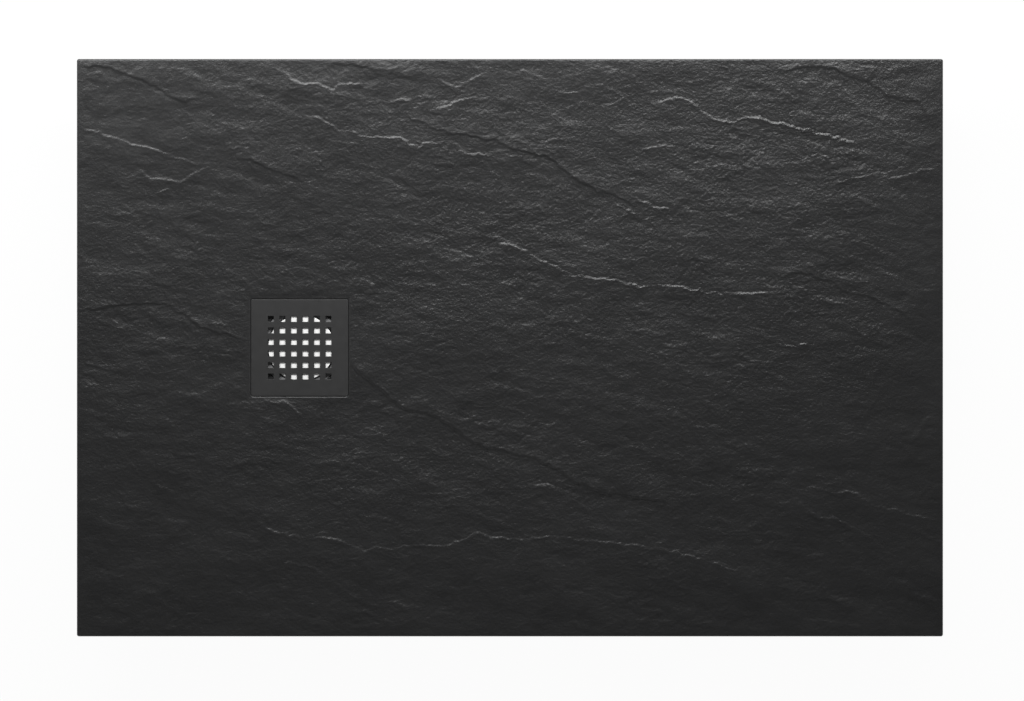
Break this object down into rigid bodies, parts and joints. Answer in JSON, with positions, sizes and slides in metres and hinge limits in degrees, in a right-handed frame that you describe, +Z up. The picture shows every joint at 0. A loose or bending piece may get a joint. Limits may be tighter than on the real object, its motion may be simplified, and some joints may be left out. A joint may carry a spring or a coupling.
{
  "type": "shower tray",
  "caption": "Low rectangular cast shower tray with a slate texture, square drain cover, lift-out strainer and cup, and a water trap with a swivelling outlet.",
  "frame": {"origin": "middle of the tray's flat underside", "axes": "+X along the long side, away from the drain's end; +Z up; the trap hangs below Z 0"},
  "size_m": [1.2, 0.8, 0.107],
  "materials": {
    "cast_stone": "matte",
    "slate_gelcoat": "satin",
    "cover_paint": "satin",
    "steel": "satin",
    "rubber": "matte",
    "white_plastic": "satin",
    "dark_plastic": "satin",
    "brass": "satin",
    "trap_plastic": "satin",
    "nut_plastic": "satin"
  },
  "bodies": {
    "tray": {"casting_core": "cast_stone", "casting_well": "cast_stone", "gelcoat_skin": "slate_gelcoat", "ring_gasket": "rubber", "trap_gasket": "rubber", "clamp_ring": "dark_plastic", "clamp_screws": "steel", "screw_inserts": "brass", "trap_head": "trap_plastic", "trap_wall": "trap_plastic", "ball_socket": "trap_plastic", "trap_bowl": "trap_plastic", "ball_nut": "nut_plastic", "ball_seal": "rubber"},
    "cover": {"cover_plate": "cover_paint", "cover_studs": "steel", "cover_pads": "rubber"},
    "strainer": {"strainer": "white_plastic"},
    "cup": {"dip_cup": "white_plastic", "cup_seal": "rubber"},
    "outlet": {"outlet_spigot": "trap_plastic", "cone_washer": "rubber"},
    "slip": {"slip_ring": "nut_plastic"},
    "nut": {"pipe_nut": "nut_plastic"}
  },
  "joints": [
    {"name": "cover_lift", "type": "slide", "parent": "tray", "child": "cover", "axis": [0, 0, 1], "range_m": [0, 0.2]},
    {"name": "strainer_lift", "type": "slide", "parent": "tray", "child": "strainer", "axis": [0, 0, 1], "range_m": [0, 0.15]},
    {"name": "cup_lift", "type": "slide", "parent": "tray", "child": "cup", "axis": [0, 0, 1], "range_m": [0, 0.1]},
    {"name": "outlet_swivel", "type": "hinge", "parent": "tray", "child": "outlet", "pos_m": [-0.368, 0, -0.034], "axis": [0, 0, 1], "range_deg": [-12, 12]},
    {"name": "nut_slide", "type": "slide", "parent": "outlet", "child": "slip", "axis": [-1, 0, 0], "range_m": [0, 0.006]},
    {"name": "nut_turn", "type": "hinge", "parent": "slip", "child": "nut", "pos_m": [-0.438, 0, -0.034], "axis": [-1, 0, 0], "range_deg": [0, 540]}
  ],
  "couplings": [
    {"joint": "strainer_lift", "follows": "cover_lift", "ratio": 0.75},
    {"joint": "cup_lift", "follows": "cover_lift", "ratio": 0.5},
    {"joint": "nut_slide", "follows": "nut_turn", "m_per_rad": 0.00063662}
  ]
}
